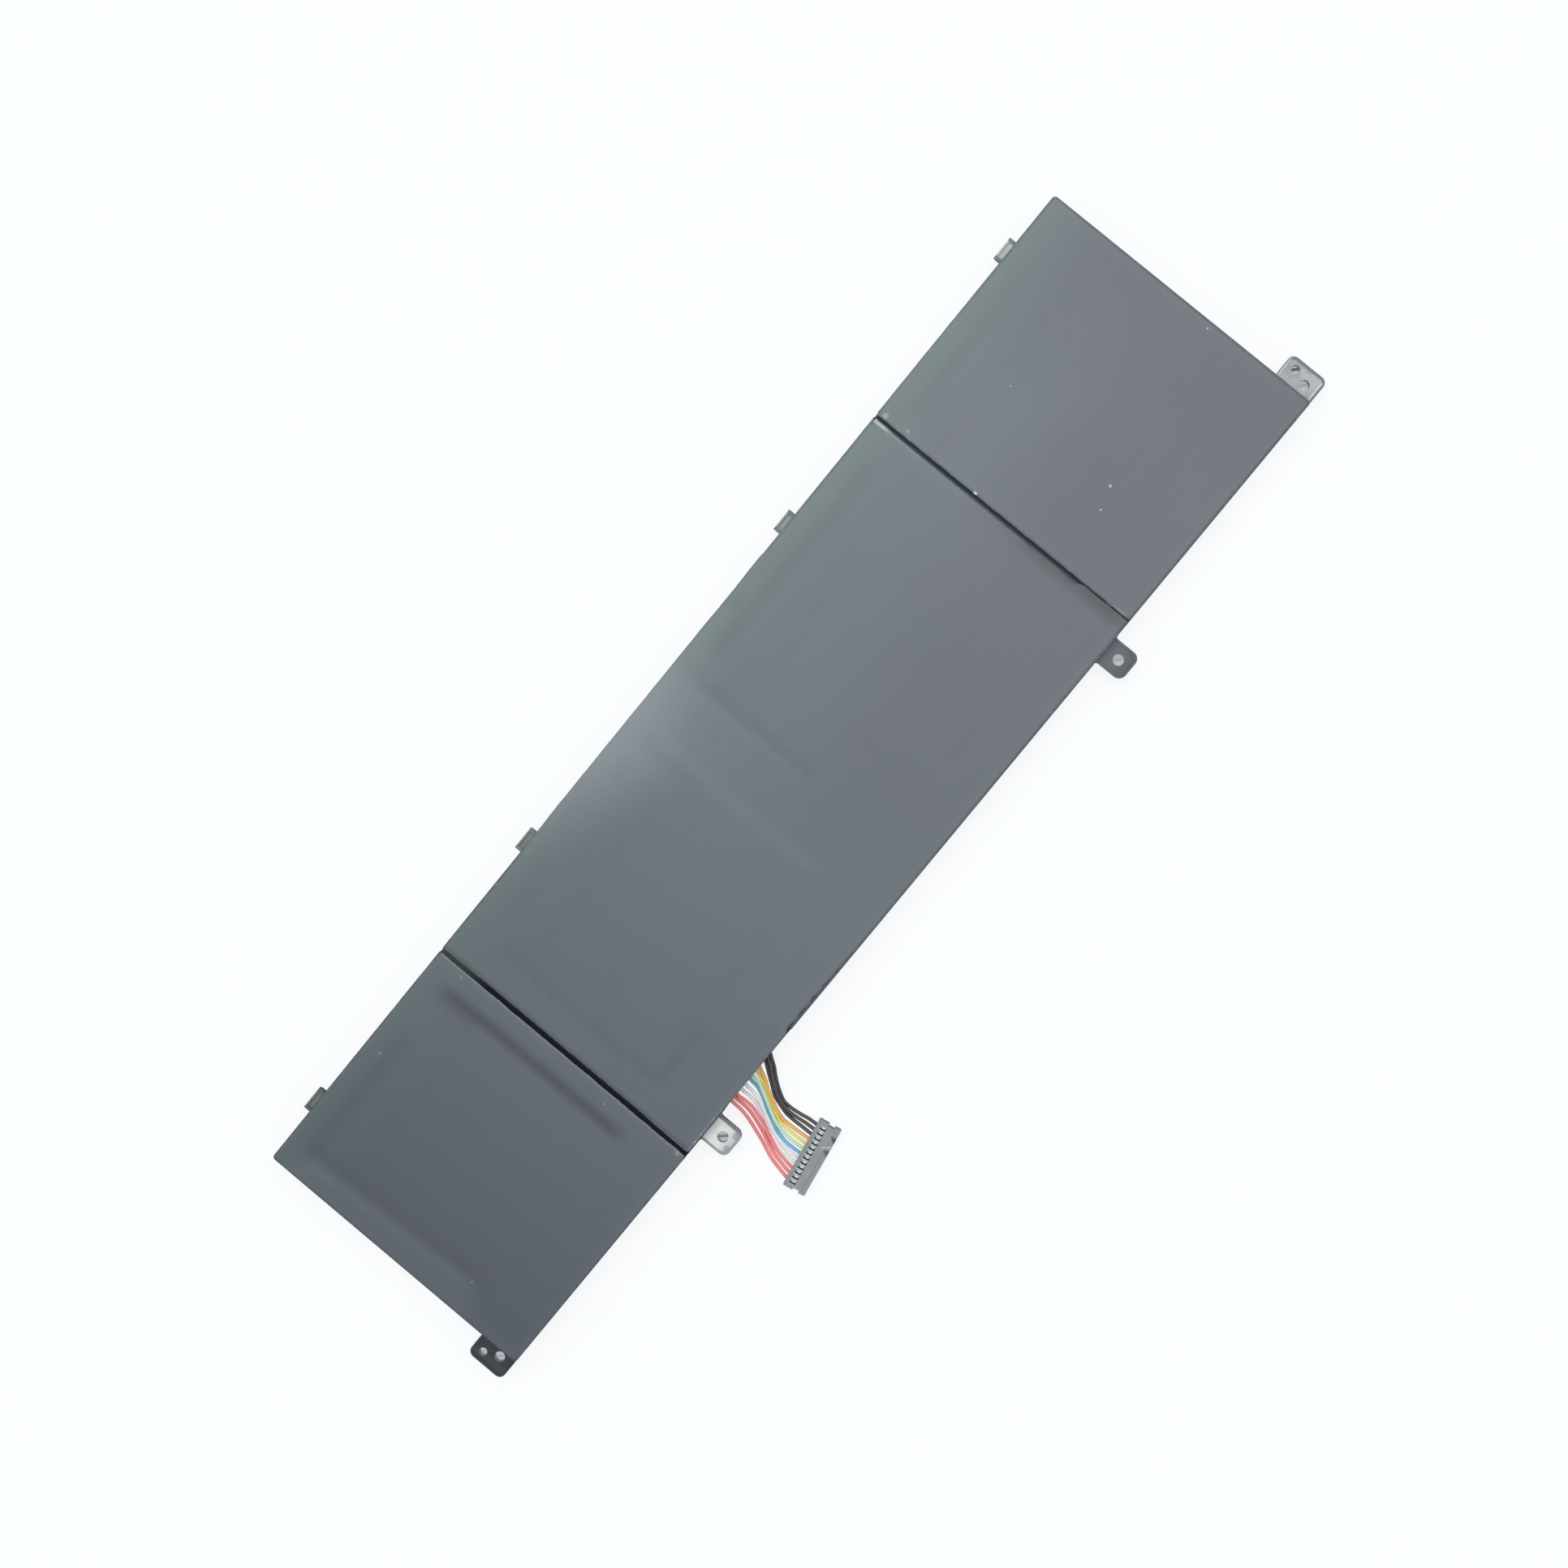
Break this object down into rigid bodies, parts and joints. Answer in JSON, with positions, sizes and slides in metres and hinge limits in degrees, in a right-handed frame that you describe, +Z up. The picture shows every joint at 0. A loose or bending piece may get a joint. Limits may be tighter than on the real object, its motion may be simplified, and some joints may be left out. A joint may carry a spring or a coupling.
{
  "type": "laptop battery",
  "caption": "Flat notebook battery pack: black moulded frame with film-covered pouch cells, screw lugs, edge hooks and a multi-wire ribbon lead with a plug.",
  "frame": {"origin": "centre of the body, midway between the end walls and the long walls, on its underside", "axes": "+X along the pack, from the end near the plug lead to the other, +Y towards the long edge with the four hooks, +Z up towards the front films"},
  "size_m": [0.2564, 0.0888, 0.008],
  "materials": {
    "frame": "fine-textured black glass-filled moulding",
    "film": "charcoal polyester cover film with soft relief over the cells",
    "cell_pouch": "satin laminated pouch foil",
    "aluminium_tab": "rolled aluminium strip",
    "nickel": "rolled nickel strip",
    "adhesive": "white double-sided tape",
    "board": "green solder mask on glass-epoxy board",
    "gold_pad": "gold-plated copper pads",
    "chip": "black moulded package",
    "ceramic_part": "fired ceramic",
    "board_tape": "black insulating tape",
    "wire_black": "soft black wire insulation",
    "wire_orange": "soft orange wire insulation",
    "wire_yellow": "soft yellow wire insulation",
    "wire_green": "soft pale green wire insulation",
    "wire_blue": "soft blue wire insulation",
    "wire_white": "soft white wire insulation",
    "wire_red": "soft red wire insulation",
    "plug": "grey moulded nylon",
    "contact": "tinned stamped bronze"
  },
  "bodies": {
    "root": {"frame": "frame", "cell_1": "cell_pouch", "cell_2": "cell_pouch", "cell_3": "cell_pouch", "cell_4": "cell_pouch", "positive_tab_1": "aluminium_tab", "positive_tab_2": "aluminium_tab", "positive_tab_3": "aluminium_tab", "positive_tab_4": "aluminium_tab", "negative_tab_1": "nickel", "negative_tab_2": "nickel", "negative_tab_3": "nickel", "negative_tab_4": "nickel", "cell_pad_1": "adhesive", "cell_pad_2": "adhesive", "cell_pad_3": "adhesive", "cell_pad_4": "adhesive", "left_short_lead": "nickel", "left_long_lead": "nickel", "right_short_lead": "nickel", "right_long_lead": "nickel", "board": "board", "solder_pads": "gold_pad", "controller_chip": "chip", "guard_chip": "chip", "switch_left": "chip", "switch_right": "chip", "cutoff_fuse": "ceramic_part", "sense_resistor": "chip", "temperature_sensor": "ceramic_part", "capacitors": "ceramic_part", "board_tape": "board_tape", "front_film_left": "film", "front_film_middle": "film", "front_film_right": "film", "rear_film_left": "film", "rear_film_middle": "film", "rear_film_right": "film", "wire_black_1": "wire_black", "wire_black_2": "wire_black", "wire_black_3": "wire_black", "wire_orange": "wire_orange", "wire_yellow": "wire_yellow", "wire_green": "wire_green", "wire_blue": "wire_blue", "wire_white_1": "wire_white", "wire_white_2": "wire_white", "wire_red_1": "wire_red", "wire_red_2": "wire_red", "wire_red_3": "wire_red", "plug_housing": "plug", "plug_contacts": "contact"}
  },
  "joints": []
}
